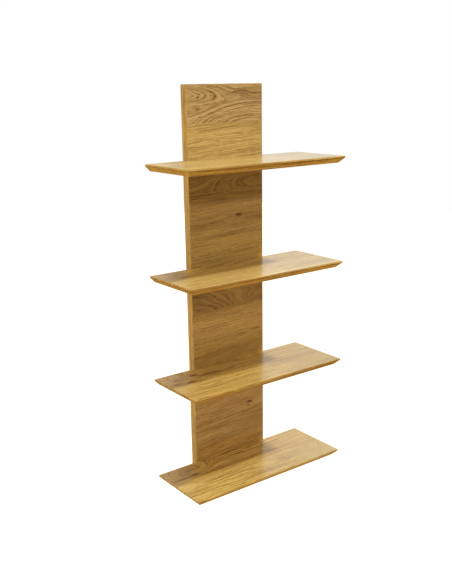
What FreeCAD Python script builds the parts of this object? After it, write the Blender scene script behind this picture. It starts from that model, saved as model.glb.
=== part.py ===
import FreeCAD, Part
import os

import Sketcher

# A wall shelf: an upright oak-veneered panel carries four equal boards on its front face.
# Each board is drawn up by countersunk screws from behind and kept level by dowels, and the
# panel hangs on two keyhole plates that are let in flush in its back.
# X runs along the shelves, Y points at the wall and Z points up. The origin lies on the wall,
# midway between the round entries of the two keyholes. Lengths are in millimetres, and every
# "diameter" is a full width.

SIZES = {
    # Shelf boards: the depth is counted from the panel, the pitch from top face to top face
    "shelf_length": 600,
    "shelf_depth": 230,
    "shelf_thickness": 22,
    "shelf_pitch": 340,
    "nose_height": 6,
    "shelf_arris": 0.8,
    "back_band": 1,
    # Upright panel with its edge bands: the rise is counted from the top shelf's top face
    "panel_width": 295,
    "panel_thickness": 28,
    "panel_rise": 225,
    "edge_band": 2,
    "band_arris": 1,
    # Connecting screws between panel and shelves
    "screw_spacing": 100,
    "screw_length": 70,
    "screw_head_diameter": 10,
    "screw_neck_diameter": 7,
    "screw_neck_length": 12,
    "screw_core_diameter": 5,
    "screw_tip_diameter": 3,
    "screw_tip_length": 4,
    "socket_width": 4,
    "socket_depth": 4,
    # Dowels between panel and shelves
    "dowel_spacing": 100,
    "dowel_diameter": 8,
    "dowel_length": 40,
    "dowel_in_panel": 14,
    "dowel_chamfer": 1,
    # Keyhole plates: the drop is counted from the panel's top, the rise from entry to seat
    "hanger_spacing": 200,
    "hanger_drop": 60,
    "plate_length": 70,
    "plate_width": 25,
    "plate_thickness": 2,
    "keyhole_entry_diameter": 10,
    "keyhole_slot_width": 5,
    "keyhole_rise": 12,
    "head_room_width": 14,
    "head_room_depth": 8,
    # Wood screws that hold the plates
    "plate_screw_spacing": 52,
    "plate_screw_length": 16,
    "plate_screw_head_diameter": 7,
    "plate_screw_shank_diameter": 3.5,
    "plate_screw_core_diameter": 2.4,
    "plate_screw_point_length": 4,
    # Clearances: play is on the radius, allowance is the depth drilled past a screw's end
    "hole_play": 0.1,
    "recess_play": 0.2,
    "dowel_end_gap": 1,
    "drill_allowance": 2,
}

SHELVES = ["bottom_shelf", "lower_shelf", "upper_shelf", "top_shelf"]
SIDES = {"left": -1, "right": 1}
SCREWS_PER_SHELF = 3
DOWELS_PER_SHELF = 2
SCREWS_PER_PLATE = 2
COUNTERSINK_ANGLE = 90
HEXAGON = 6

doc = FreeCAD.newDocument("wall_shelf")
sheet = doc.addObject("Spreadsheet::Sheet", "sizes")
for row, (alias, value) in enumerate(SIZES.items(), start=1):
    sheet.set(f"A{row}", alias)
    sheet.set(f"B{row}", str(value))
    sheet.setAlias(f"B{row}", alias)
doc.recompute()

# Places that several pieces share, worked out from the driving sizes
TOP_SHELF_FACE = "(sizes.hanger_drop - sizes.panel_rise)"
PANEL_FRONT = "(-sizes.panel_thickness)"
PANEL_TOP = "sizes.hanger_drop"
PANEL_HEIGHT = f"(sizes.panel_rise + {len(SHELVES) - 1} * sizes.shelf_pitch + sizes.shelf_thickness)"
PANEL_BOTTOM = f"({PANEL_TOP} - {PANEL_HEIGHT})"
BEVEL = "(sizes.shelf_thickness - sizes.nose_height)"
HALF_SHELF = "(sizes.shelf_length / 2)"
HALF_CORE = "(sizes.panel_width / 2 - sizes.edge_band)"
FIRST_SCREW = f"(-{(SCREWS_PER_SHELF - 1) / 2} * sizes.screw_spacing)"
FIRST_DOWEL = f"(-{(DOWELS_PER_SHELF - 1) / 2} * sizes.dowel_spacing)"
PLATE_MIDDLE = "(sizes.keyhole_rise / 2)"
FIRST_PLATE_SCREW = f"({PLATE_MIDDLE} - {(SCREWS_PER_PLATE - 1) / 2} * sizes.plate_screw_spacing)"

SCREW_HOLE = "(sizes.screw_neck_diameter / 2 + sizes.hole_play)"
PILOT_HOLE = "(sizes.screw_core_diameter / 2 + sizes.hole_play)"
DOWEL_HOLE = "(sizes.dowel_diameter / 2 + sizes.hole_play)"
PLATE_PILOT_HOLE = "(sizes.plate_screw_core_diameter / 2 + sizes.hole_play)"


def shelf_face(number):
    """Height of a shelf's top face, counted up from the lowest shelf."""
    return f"({TOP_SHELF_FACE} - {len(SHELVES) - 1 - number} * sizes.shelf_pitch)"


def shelf_middle(number):
    """Height of the middle of a shelf's thickness, where its dowels and screws lie."""
    return f"({shelf_face(number)} - sizes.shelf_thickness / 2)"


def row_of(first, spacing, count):
    """Places of a row of equal fasteners, as expressions."""
    return [f"({first} + {i} * {spacing})" for i in range(count)]


SCREW_ROW = row_of(FIRST_SCREW, "sizes.screw_spacing", SCREWS_PER_SHELF)
DOWEL_ROW = row_of(FIRST_DOWEL, "sizes.dowel_spacing", DOWELS_PER_SHELF)
PLATE_SCREW_ROW = row_of(FIRST_PLATE_SCREW, "sizes.plate_screw_spacing", SCREWS_PER_PLATE)


def number(expression):
    """The present value of an expression, for a sketch's first guess."""
    return float(sheet.evalExpression(expression))


def new_body(label, x="0", y="0", z="0"):
    """An empty piece with its own frame, placed by expressions."""
    body = doc.addObject("PartDesign::Body", label)
    body.Label = label
    body.AllowCompound = True
    for axis, expression in zip("xyz", (x, y, z)):
        body.setExpression(f"Placement.Base.{axis}", expression)
    return body


def origin_feature(body, role):
    return next(feature for feature in body.Origin.OriginFeatures if feature.Role == role)


def new_sketch(body, name, role, offset="0"):
    """A sketch on one of the piece's own planes, moved along the plane's normal."""
    sketch = body.newObject("Sketcher::SketchObject", name)
    sketch.AttachmentSupport = [(origin_feature(body, role), "")]
    sketch.MapMode = "FlatFace"
    sketch.setExpression("AttachmentOffset.Base.z", offset)
    return sketch


def tie(sketch, constraint, expression):
    """Adds a dimension to a sketch and binds it to an expression."""
    index = sketch.addConstraint(constraint)
    sketch.setExpression(f"Constraints[{index}]", expression)


def tie_point(sketch, line, end, across, up):
    tie(sketch, Sketcher.Constraint("DistanceX", -1, 1, line, end, number(across)), across)
    tie(sketch, Sketcher.Constraint("DistanceY", -1, 1, line, end, number(up)), up)


def draw_outline(sketch, corners):
    """A closed outline of straight lines through corners given as pairs of expressions."""
    points = [FreeCAD.Vector(number(across), number(up), 0) for across, up in corners]
    lines = []
    for start, end in zip(points, points[1:] + points[:1]):
        lines.append(sketch.addGeometry(Part.LineSegment(start, end), False))
    for line, following in zip(lines, lines[1:] + lines[:1]):
        sketch.addConstraint(Sketcher.Constraint("Coincident", line, 2, following, 1))
    for line, (across, up) in zip(lines, corners):
        tie_point(sketch, line, 1, across, up)


def draw_circles(sketch, places, radius):
    """Equal circles at places given as pairs of expressions."""
    for across, up in places:
        middle = FreeCAD.Vector(number(across), number(up), 0)
        circle = Part.Circle(middle, FreeCAD.Vector(0, 0, 1), number(radius))
        index = sketch.addGeometry(circle, False)
        tie_point(sketch, index, 3, across, up)
        tie(sketch, Sketcher.Constraint("Radius", index, number(radius)), radius)


def draw_slot(sketch, across, low, high, radius):
    """An upright slot with round ends, from the middle of its lower arc to that of its upper one."""
    x, bottom, top, r = number(across), number(low), number(high), number(radius)
    up = FreeCAD.Vector(0, 0, 1)
    half_turn = 3.141592653589793
    lower = Part.ArcOfCircle(Part.Circle(FreeCAD.Vector(x, bottom, 0), up, r), half_turn, 2 * half_turn)
    upper = Part.ArcOfCircle(Part.Circle(FreeCAD.Vector(x, top, 0), up, r), 0, half_turn)
    right = Part.LineSegment(FreeCAD.Vector(x + r, bottom, 0), FreeCAD.Vector(x + r, top, 0))
    left = Part.LineSegment(FreeCAD.Vector(x - r, top, 0), FreeCAD.Vector(x - r, bottom, 0))
    ring = [sketch.addGeometry(piece, False) for piece in (lower, right, upper, left)]
    for piece, following in zip(ring, ring[1:] + ring[:1]):
        sketch.addConstraint(Sketcher.Constraint("Tangent", piece, 2, following, 1))
    tie_point(sketch, ring[0], 3, across, low)
    tie_point(sketch, ring[2], 3, across, high)
    tie(sketch, Sketcher.Constraint("Radius", ring[0], r), radius)


def pad(body, name, sketch, length, backwards=False):
    feature = body.newObject("PartDesign::Pad", name)
    feature.Profile = sketch
    feature.setExpression("Length", length)
    feature.Reversed = backwards
    doc.recompute()
    return feature


def cut(body, feature):
    """Recomputes and makes sure that a cutting feature took wood or metal away."""
    before = feature.BaseFeature.Shape.Volume
    doc.recompute()
    if feature.Shape.Volume > before - 1e-6:
        raise RuntimeError(f"{feature.Label} of {body.Label} cuts nothing")


def pocket(body, name, sketch, depth=None, backwards=True):
    """Cuts a sketch's outline, to a depth or right through."""
    feature = body.newObject("PartDesign::Pocket", name)
    feature.Profile = sketch
    feature.Reversed = backwards
    if depth is None:
        feature.Type = "ThroughAll"
    else:
        feature.setExpression("Length", depth)
    cut(body, feature)
    return feature


def countersunk_holes(body, name, sketch, hole_radius, head_diameter):
    """Holes right through for countersunk heads that end flush."""
    doc.recompute()
    feature = body.newObject("PartDesign::Hole", name)
    feature.Profile = sketch
    doc.recompute()
    feature.ThreadType = "None"
    feature.DepthType = "ThroughAll"
    feature.Reversed = True
    feature.HoleCutType = "Countersink"
    feature.HoleCutCountersinkAngle = COUNTERSINK_ANGLE
    feature.setExpression("Diameter", f"2 * {hole_radius}")
    feature.setExpression("HoleCutDiameter", f"{head_diameter} + 2 * sizes.hole_play")
    cut(body, feature)


def dress_edges(body, kind, name, base, chosen, property_name, length):
    """Chamfers or rounds the edges of a feature that a test on their boxes chooses."""
    edges = enumerate(base.Shape.Edges, start=1)
    names = [f"Edge{i}" for i, edge in edges if chosen(edge.BoundBox)]
    feature = body.newObject(f"PartDesign::{kind}", name)
    feature.Base = (base, names)
    feature.setExpression(property_name, length)
    doc.recompute()
    return feature


def turned(body, name, profile):
    """A turned piece: corners as (radius, depth behind the frame's origin), spun about Y."""
    sketch = new_sketch(body, f"{name}_profile", "XY_Plane")
    draw_outline(sketch, [(radius, f"-({depth})") for radius, depth in profile])
    feature = body.newObject("PartDesign::Revolution", name)
    feature.Profile = sketch
    feature.ReferenceAxis = (sketch, ["V_Axis"])
    doc.recompute()
    return feature


def repeat(body, features, axis_role, spacing, count):
    """A straight row of equal separate pieces."""
    feature = body.newObject("PartDesign::LinearPattern", "row")
    feature.Originals = features
    feature.Direction = (origin_feature(body, axis_role), [""])
    feature.setExpression("Length", f"{count - 1} * {spacing}")
    feature.Occurrences = count
    body.Tip = feature
    doc.recompute()


def near(value, expression):
    return abs(value - number(expression)) < 1e-6


def make_back_panel():
    """The veneered core of the upright panel, drilled and routed."""
    body = new_body("back_panel")
    low = f"({PANEL_BOTTOM} + sizes.edge_band)"
    high = f"({PANEL_TOP} - sizes.edge_band)"
    left = f"(-{HALF_CORE})"
    outline = new_sketch(body, "panel_outline", "XZ_Plane")
    draw_outline(outline, [(left, low), (HALF_CORE, low), (HALF_CORE, high), (left, high)])
    pad(body, "board", outline, "sizes.panel_thickness")

    levels = [shelf_middle(i) for i in range(len(SHELVES))]
    screws = new_sketch(body, "screw_places", "XZ_Plane")
    draw_circles(screws, [(across, up) for up in levels for across in SCREW_ROW], SCREW_HOLE)
    countersunk_holes(body, "screw_holes", screws, SCREW_HOLE, "sizes.screw_head_diameter")

    dowels = new_sketch(body, "dowel_places", "XZ_Plane", "sizes.panel_thickness")
    draw_circles(dowels, [(across, up) for up in levels for across in DOWEL_ROW], DOWEL_HOLE)
    depth = "sizes.dowel_in_panel + sizes.dowel_end_gap"
    pocket(body, "dowel_holes", dowels, depth, backwards=False)

    recesses = new_sketch(body, "plate_recess_outlines", "XZ_Plane")
    head_room = new_sketch(body, "head_room_outlines", "XZ_Plane")
    pilots = new_sketch(body, "plate_screw_places", "XZ_Plane")
    straight = "(sizes.plate_length - sizes.plate_width) / 2"
    for side in SIDES.values():
        across = f"({side} * sizes.hanger_spacing / 2)"
        low_end = f"({PLATE_MIDDLE} - {straight})"
        high_end = f"({PLATE_MIDDLE} + {straight})"
        draw_slot(recesses, across, low_end, high_end, "(sizes.plate_width / 2 + sizes.recess_play)")
        draw_slot(head_room, across, "0", "sizes.keyhole_rise", "(sizes.head_room_width / 2)")
        draw_circles(pilots, [(across, up) for up in PLATE_SCREW_ROW], PLATE_PILOT_HOLE)
    pocket(body, "plate_recesses", recesses, "sizes.plate_thickness")
    pocket(body, "head_room", head_room, "sizes.plate_thickness + sizes.head_room_depth")
    pocket(body, "plate_pilot_holes", pilots, "sizes.plate_screw_length + sizes.drill_allowance")
    return body


def make_side_band(name, side):
    """An upright edge band, which covers the ends of the level ones. Its outer arrises are eased."""
    body = new_body(f"panel_edge_{name}", z=PANEL_BOTTOM)
    inner = f"({side} * {HALF_CORE})"
    outer = f"({side} * sizes.panel_width / 2)"
    section = new_sketch(body, "band_section", "XY_Plane")
    corners = [(inner, "0"), (outer, "0"), (outer, PANEL_FRONT), (inner, PANEL_FRONT)]
    draw_outline(section, corners)
    band = pad(body, "band", section, PANEL_HEIGHT)

    def outer_arris(box):
        return near(box.XMin, outer) and near(box.XMax, outer) and box.ZLength > box.YLength

    dress_edges(body, "Fillet", "arris", band, outer_arris, "Radius", "sizes.band_arris")
    return body


def make_level_band(name, height, upwards):
    """The edge band on the panel's top or bottom edge, between the upright bands."""
    body = new_body(f"panel_edge_{name}", z=height)
    section = new_sketch(body, "band_section", "XY_Plane")
    left = f"(-{HALF_CORE})"
    draw_outline(section, [(left, "0"), (HALF_CORE, "0"), (HALF_CORE, PANEL_FRONT), (left, PANEL_FRONT)])
    band = pad(body, "band", section, "sizes.edge_band", backwards=not upwards)
    outer = "sizes.edge_band" if upwards else "-sizes.edge_band"

    def outer_arris(box):
        return near(box.ZMin, outer) and near(box.ZMax, outer) and box.XLength > box.YLength

    dress_edges(body, "Fillet", "arris", band, outer_arris, "Radius", "sizes.band_arris")
    return body


def make_shelf(name, number_from_below):
    """A shelf board. Its front and ends have an upright nose above a 45 degree undercut, which
    meets in mitres at the corners, and its square back edge is drilled."""
    body = new_body(name, y=PANEL_FRONT, z=shelf_face(number_from_below))
    left = f"(-{HALF_SHELF})"
    front = "(-sizes.shelf_depth)"
    back = "(-sizes.back_band)"
    outline = new_sketch(body, "board_outline", "XY_Plane")
    draw_outline(outline, [(left, front), (HALF_SHELF, front), (HALF_SHELF, back), (left, back)])
    board = pad(body, "board", outline, "sizes.shelf_thickness", backwards=True)

    def lower_edge(box):
        return near(box.ZMax, "-sizes.shelf_thickness") and not near(box.YMin, back)

    undercut = dress_edges(body, "Chamfer", "undercut", board, lower_edge, "Size", BEVEL)

    def sharp_edge(box):
        upper = near(box.ZMin, "0") and not near(box.YMin, back)
        corner = near(box.YMax, front) and near(box.ZLength, "sizes.nose_height") and box.XLength < 1e-6
        return upper or corner

    dress_edges(body, "Fillet", "arris", undercut, sharp_edge, "Radius", "sizes.shelf_arris")

    middle = "(-sizes.shelf_thickness / 2)"
    pilots = new_sketch(body, "pilot_places", "XZ_Plane")
    draw_circles(pilots, [(across, middle) for across in SCREW_ROW], PILOT_HOLE)
    depth = "sizes.screw_length - sizes.panel_thickness + sizes.drill_allowance"
    pocket(body, "pilot_holes", pilots, depth)
    dowels = new_sketch(body, "dowel_places", "XZ_Plane")
    draw_circles(dowels, [(across, middle) for across in DOWEL_ROW], DOWEL_HOLE)
    pocket(body, "dowel_holes", dowels, "sizes.dowel_length - sizes.dowel_in_panel + sizes.dowel_end_gap")
    return body


def make_back_band(name, number_from_below):
    """The band on a shelf's back edge, trimmed flush with the noses and undercuts of its ends."""
    body = new_body(f"{name}_back_edge", y=PANEL_FRONT, z=shelf_face(number_from_below))
    under = "(-sizes.shelf_thickness)"
    nose = "(-sizes.nose_height)"
    foot = f"({HALF_SHELF} - {BEVEL})"
    right_side = [(foot, under), (HALF_SHELF, nose), (HALF_SHELF, "0")]
    left_side = [(f"(-{across})", up) for across, up in reversed(right_side)]
    outline = new_sketch(body, "band_outline", "XZ_Plane")
    draw_outline(outline, right_side + left_side)
    band = pad(body, "band", outline, "sizes.back_band")

    def upper_corner(box):
        return near(box.ZMin, "0") and box.XLength < 1e-6

    dress_edges(body, "Fillet", "arris", band, upper_corner, "Radius", "sizes.shelf_arris")

    middle = "(-sizes.shelf_thickness / 2)"
    for kind, places, radius in (("pilot", SCREW_ROW, PILOT_HOLE), ("dowel", DOWEL_ROW, DOWEL_HOLE)):
        holes = new_sketch(body, f"{kind}_places", "XZ_Plane")
        draw_circles(holes, [(across, middle) for across in places], radius)
        pocket(body, f"{kind}_holes", holes)
    return body


def make_shelf_screws(name, number_from_below):
    """A row of connecting screws with flush countersunk heads and hexagon sockets."""
    body = new_body(f"{name}_screws", x=FIRST_SCREW, z=shelf_middle(number_from_below))
    head = "sizes.screw_head_diameter / 2"
    neck = "sizes.screw_neck_diameter / 2"
    core = "sizes.screw_core_diameter / 2"
    tip = "sizes.screw_tip_diameter / 2"
    shoulder = "sizes.screw_length - sizes.screw_tip_length"
    profile = [
        ("0", "0"),
        (head, "0"),
        (neck, f"{head} - {neck}"),
        (neck, "sizes.screw_neck_length"),
        (core, "sizes.screw_neck_length"),
        (core, shoulder),
        (tip, "sizes.screw_length"),
        ("0", "sizes.screw_length"),
    ]
    screw = turned(body, "screw", profile)
    corner = "sizes.socket_width / sqrt(3)"
    turns = [360 / HEXAGON * i for i in range(HEXAGON)]
    socket = new_sketch(body, "socket_outline", "XZ_Plane")
    draw_outline(socket, [(f"({corner} * cos({turn}))", f"({corner} * sin({turn}))") for turn in turns])
    hollow = pocket(body, "socket", socket, "sizes.socket_depth")
    repeat(body, [screw, hollow], "X_Axis", "sizes.screw_spacing", SCREWS_PER_SHELF)
    return body


def make_dowels(name, number_from_below):
    """A pair of round dowels with chamfered ends, part in the panel and part in the shelf."""
    end = f"({PANEL_FRONT} + sizes.dowel_in_panel)"
    body = new_body(f"{name}_dowels", x=FIRST_DOWEL, y=end, z=shelf_middle(number_from_below))
    full = "sizes.dowel_diameter / 2"
    eased = "sizes.dowel_diameter / 2 - sizes.dowel_chamfer"
    profile = [
        ("0", "0"),
        (eased, "0"),
        (full, "sizes.dowel_chamfer"),
        (full, "sizes.dowel_length - sizes.dowel_chamfer"),
        (eased, "sizes.dowel_length"),
        ("0", "sizes.dowel_length"),
    ]
    dowel = turned(body, "dowel", profile)
    repeat(body, [dowel], "X_Axis", "sizes.dowel_spacing", DOWELS_PER_SHELF)
    return body


def make_hanger_plate(name, side):
    """A keyhole plate: a wall screw's head goes in at the round entry and the plate drops onto it."""
    body = new_body(f"hanger_plate_{name}", x=f"({side} * sizes.hanger_spacing / 2)")
    straight = "(sizes.plate_length - sizes.plate_width) / 2"
    low_end = f"({PLATE_MIDDLE} - {straight})"
    high_end = f"({PLATE_MIDDLE} + {straight})"
    outline = new_sketch(body, "plate_outline", "XZ_Plane")
    draw_slot(outline, "0", low_end, high_end, "(sizes.plate_width / 2)")
    pad(body, "plate", outline, "sizes.plate_thickness")

    entry = new_sketch(body, "entry_outline", "XZ_Plane")
    draw_circles(entry, [("0", "0")], "(sizes.keyhole_entry_diameter / 2)")
    pocket(body, "entry", entry)
    slot = new_sketch(body, "slot_outline", "XZ_Plane")
    draw_slot(slot, "0", "0", "sizes.keyhole_rise", "(sizes.keyhole_slot_width / 2)")
    pocket(body, "slot", slot)

    screws = new_sketch(body, "screw_places", "XZ_Plane")
    hole = "(sizes.plate_screw_shank_diameter / 2 + sizes.hole_play)"
    draw_circles(screws, [("0", up) for up in PLATE_SCREW_ROW], hole)
    countersunk_holes(body, "screw_holes", screws, hole, "sizes.plate_screw_head_diameter")
    return body


def make_plate_screws(name, side):
    """The wood screws of one plate, with flush countersunk heads."""
    across = f"({side} * sizes.hanger_spacing / 2)"
    body = new_body(f"hanger_screws_{name}", x=across, z=FIRST_PLATE_SCREW)
    head = "sizes.plate_screw_head_diameter / 2"
    shank = "sizes.plate_screw_shank_diameter / 2"
    core = "sizes.plate_screw_core_diameter / 2"
    profile = [
        ("0", "0"),
        (head, "0"),
        (shank, f"{head} - {shank}"),
        (shank, "sizes.plate_thickness"),
        (core, "sizes.plate_thickness"),
        (core, "sizes.plate_screw_length - sizes.plate_screw_point_length"),
        ("0", "sizes.plate_screw_length"),
    ]
    screw = turned(body, "screw", profile)
    repeat(body, [screw], "Z_Axis", "sizes.plate_screw_spacing", SCREWS_PER_PLATE)
    return body


pieces = [make_back_panel()]
for side_name, sign in SIDES.items():
    pieces.append(make_side_band(side_name, sign))
    pieces.append(make_hanger_plate(side_name, sign))
    pieces.append(make_plate_screws(side_name, sign))
pieces.append(make_level_band("top", f"({PANEL_TOP} - sizes.edge_band)", upwards=True))
pieces.append(make_level_band("bottom", f"({PANEL_BOTTOM} + sizes.edge_band)", upwards=False))
for index, shelf_name in enumerate(SHELVES):
    pieces.append(make_shelf(shelf_name, index))
    pieces.append(make_back_band(shelf_name, index))
    pieces.append(make_shelf_screws(shelf_name, index))
    pieces.append(make_dowels(shelf_name, index))
doc.recompute()

# Nothing is written unless every feature and every finished piece is sound
for item in doc.Objects:
    if "Invalid" in item.State or "Error" in item.State:
        raise RuntimeError(f"{item.Label} failed: {item.State}")
for piece in pieces:
    if piece.Shape.isNull() or not piece.Shape.isValid():
        raise RuntimeError(f"{piece.Label} has no sound shape")

os.makedirs("parts", exist_ok=True)
for piece in pieces:
    piece.Shape.exportStep(f"parts/{piece.Label}.step")
    box = piece.Shape.BoundBox
    print(
        f"{piece.Label}: {len(piece.Shape.Solids)} solid(s), {piece.Shape.Volume:.0f} mm3,",
        f"x {box.XMin:.1f} to {box.XMax:.1f}, y {box.YMin:.1f} to {box.YMax:.1f},",
        f"z {box.ZMin:.1f} to {box.ZMax:.1f}",
    )
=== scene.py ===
# %% [markdown]
# # A wall shelf in lacquered oak
#
# One upright panel hangs on the wall, and four boards are dowelled and screwed to its front. Almost
# everything that the eye sees is oak veneer under a satin lacquer, with a little zinc-plated steel at the
# back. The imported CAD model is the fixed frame: its pieces are loaded first, and what Blender adds goes
# where the CAD says.

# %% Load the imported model
import math

import bmesh
import bpy
from mathutils import Matrix, Vector


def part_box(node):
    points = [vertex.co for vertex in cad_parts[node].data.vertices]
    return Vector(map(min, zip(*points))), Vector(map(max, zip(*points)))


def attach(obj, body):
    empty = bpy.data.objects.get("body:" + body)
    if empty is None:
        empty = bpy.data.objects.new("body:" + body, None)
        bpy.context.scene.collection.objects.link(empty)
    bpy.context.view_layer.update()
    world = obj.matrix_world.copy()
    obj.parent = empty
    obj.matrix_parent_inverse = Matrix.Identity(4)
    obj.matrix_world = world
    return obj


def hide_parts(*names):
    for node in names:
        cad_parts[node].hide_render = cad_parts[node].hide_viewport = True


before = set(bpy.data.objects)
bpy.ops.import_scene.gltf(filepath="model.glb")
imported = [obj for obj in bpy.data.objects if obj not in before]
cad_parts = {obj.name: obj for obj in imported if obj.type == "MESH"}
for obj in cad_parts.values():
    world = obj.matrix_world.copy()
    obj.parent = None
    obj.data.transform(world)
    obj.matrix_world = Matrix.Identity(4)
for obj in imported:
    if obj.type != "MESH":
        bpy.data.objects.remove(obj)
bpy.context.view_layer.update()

scene = bpy.context.scene
millimetre = 0.001

# %% [markdown]
# ## Helpers
#
# Every finish and every Geometry Nodes tree is a set of nodes with settings and links, so one function
# that adds a node and wires it serves them all. An input takes a value, an output, or a node, which stands
# for its first output in use. Colours are written as sRGB hex values and shaders want linear light, so a
# second function converts them. Patterns are sized in millimetres and a texture wants features in a metre,
# which a third gives.

# %% Add a node, with its settings and links
node_families = {"SHADER": "ShaderNode", "GEOMETRY": "GeometryNode"}


def add_node(tree, kind, inputs=None, **settings):
    family = "" if kind.startswith("NodeGroup") else node_families[tree.type]
    node = tree.nodes.new(family + kind)
    for name, value in settings.items():
        setattr(node, name, value)
    for key, value in (inputs or {}).items():
        if isinstance(key, int):
            socket = node.inputs[key]
        else:
            socket = next(s for s in node.inputs if s.identifier == key)
        if isinstance(value, bpy.types.Node):
            value = next(s for s in value.outputs if s.enabled)
        if isinstance(value, bpy.types.NodeSocket):
            tree.links.new(value, socket)
        else:
            socket.default_value = value
    return node


# %% Turn a hex colour to linear light, and sizes in millimetres to a texture's scale
def linear(hex_colour):
    channels = [int(hex_colour[i:i + 2], 16) / 255 for i in (1, 3, 5)]
    lit = [c / 12.92 if c <= 0.04045 else ((c + 0.055) / 1.055) ** 2.4 for c in channels]
    return (*lit, 1.0)


def per_metre(*sizes):
    return tuple(1 / (size * millimetre) for size in sizes)


white = linear("#FFFFFF")
print("mid oak in linear light:", [round(c, 3) for c in linear("#C79C55")])


# %% A material with an empty recipe, and an object in the scene
def blank_material(name):
    material = bpy.data.materials.new(name)
    material.use_nodes = True
    material.node_tree.nodes.clear()
    return material


def add_object(name, data):
    made = bpy.data.objects.new(name, data)
    scene.collection.objects.link(made)
    return made


# %% [markdown]
# ## Camera
#
# The photograph was taken from the left, a little above the top board. The view was solved from the edges
# of the four boards and the panel: a place, three turns and a focal length in pixels. Blender's lens value
# is that focal length on a sensor laid along the longer side of the picture, and the small shift is the
# picture's uneven trim.

# %% The camera at the photograph's view
picture_height = 584
focal_pixels = 786.57
sensor_width = 36
trim = 0.04627
eye = Vector((-1.5158, -2.0679, 0.0547))
yaw = math.radians(36.400)
pitch = math.radians(-16.543)
roll = math.radians(-0.994)

forward = Vector((math.sin(yaw) * math.cos(pitch), math.cos(yaw) * math.cos(pitch), math.sin(pitch)))
level_right = Vector((math.cos(yaw), -math.sin(yaw), 0.0))
level_up = level_right.cross(forward)
right = math.cos(roll) * level_right + math.sin(roll) * level_up
up = math.cos(roll) * level_up - math.sin(roll) * level_right

camera = add_object("camera", bpy.data.cameras.new("camera"))
camera.data.sensor_width = sensor_width
camera.data.lens = focal_pixels / picture_height * sensor_width
camera.data.shift_y = trim
camera.matrix_world = Matrix.Translation(eye) @ Matrix((right, up, -forward)).transposed().to_4x4()
scene.camera = camera
print("lens:", round(camera.data.lens, 3), "mm")

# %% [markdown]
# ## Light and stage
#
# The photograph was lit like a studio packshot: soft light from all round, and one stronger lamp high at
# the right that lays the shadow of each board on the back of the next one. A sun lamp a few degrees wide
# gives that shadow the right soft edge at every height. The background is pure white, so rays that reach
# the eye straight, mirrored or through glass see a white world, while diffuse rays meet the plain soft
# light.

# %% Rays that reach the eye
def rays_to_the_eye(tree):
    ray = add_node(tree, "LightPath").outputs
    seen = add_node(tree, "Math", {0: ray["Is Camera Ray"], 1: ray["Is Glossy Ray"]}, operation="MAXIMUM")
    return add_node(tree, "Math", {0: seen, 1: ray["Is Transmission Ray"]}, operation="MAXIMUM")


# %% The studio world
scene.view_settings.view_transform = "Standard"
soft_light = 0.80

world = bpy.data.worlds.new("studio")
scene.world = world
world.use_nodes = True
studio = world.node_tree
studio.nodes.clear()
lighting = add_node(studio, "Background", {"Color": linear("#FFF0E4"), "Strength": soft_light})
backdrop = add_node(studio, "Background", {"Color": white, "Strength": 1.0})
either = add_node(studio, "MixShader", {0: rays_to_the_eye(studio), 1: lighting, 2: backdrop})
add_node(studio, "OutputWorld", {"Surface": either})
print("world strength for diffuse light:", soft_light)

# %% The lamps: a key lamp high at the right, and a weak soft light from the left
key_direction = Vector((0.50, -0.375, 1.0)).normalized()
lamp = add_object("key_lamp", bpy.data.lights.new("key_lamp", "SUN"))
lamp.data.energy = 2.1
lamp.data.angle = math.radians(5)
lamp.rotation_mode = "QUATERNION"
lamp.rotation_quaternion = key_direction.to_track_quat("Z", "Y")

side_place = Matrix.Translation((-2.6, 0.1, 0.5))
side_turn = Matrix.Rotation(math.radians(-90), 4, "Y")
side_light = add_object("side_light", bpy.data.lights.new("side_light", "AREA"))
side_light.data.shape = "RECTANGLE"
side_light.data.size = 1.6
side_light.data.size_y = 2.2
side_light.data.energy = 13
side_light.matrix_world = side_place @ side_turn
print("lamps: key", lamp.data.energy, "side light", side_light.data.energy)

# %% The floor: matt paint that keeps the shadow, lifted to white where it reaches the eye
floor_level = -2.0
floor_reach = 9.0
floor_lift = 0.75
floor_shape = bmesh.new()
bmesh.ops.create_grid(floor_shape, x_segments=4, y_segments=4, size=floor_reach)
bmesh.ops.translate(floor_shape, verts=floor_shape.verts, vec=(0, 0, floor_level))
floor_mesh = bpy.data.meshes.new("floor")
floor_shape.to_mesh(floor_mesh)
floor_shape.free()
floor = add_object("floor", floor_mesh)

paint = blank_material("matt_floor_paint")
coat = paint.node_tree
lift = add_node(coat, "Math", {0: rays_to_the_eye(coat), 1: floor_lift}, operation="MULTIPLY")
matt = add_node(coat, "BsdfDiffuse", {"Color": linear("#C4B49E")})
glow = add_node(coat, "Emission", {"Color": white, "Strength": lift})
lifted = add_node(coat, "AddShader", {0: matt, 1: glow})
add_node(coat, "OutputMaterial", {"Surface": lifted})
floor_mesh.materials.append(paint)
print("floor", round(-floor_level, 2), "m below the hanging points")

# %% [markdown]
# Between the boards and to the left of the panel, the wall behind the real shelf lies in the shelf's own
# shadow, and the lacquer mirrors that shade. A wall here would hide the back of the part, so a grey card
# behind the panel stands for the shaded patch. Only mirrored rays meet it: it lights nothing, shades
# nothing and is never seen directly. Towards its left edge it fades to the white of the room.

# %% A point's place on its own object, along one axis
def own_place(tree, axis):
    place = add_node(tree, "TexCoord").outputs["Object"]
    return add_node(tree, "SeparateXYZ", {"Vector": place}).outputs[axis]


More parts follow.
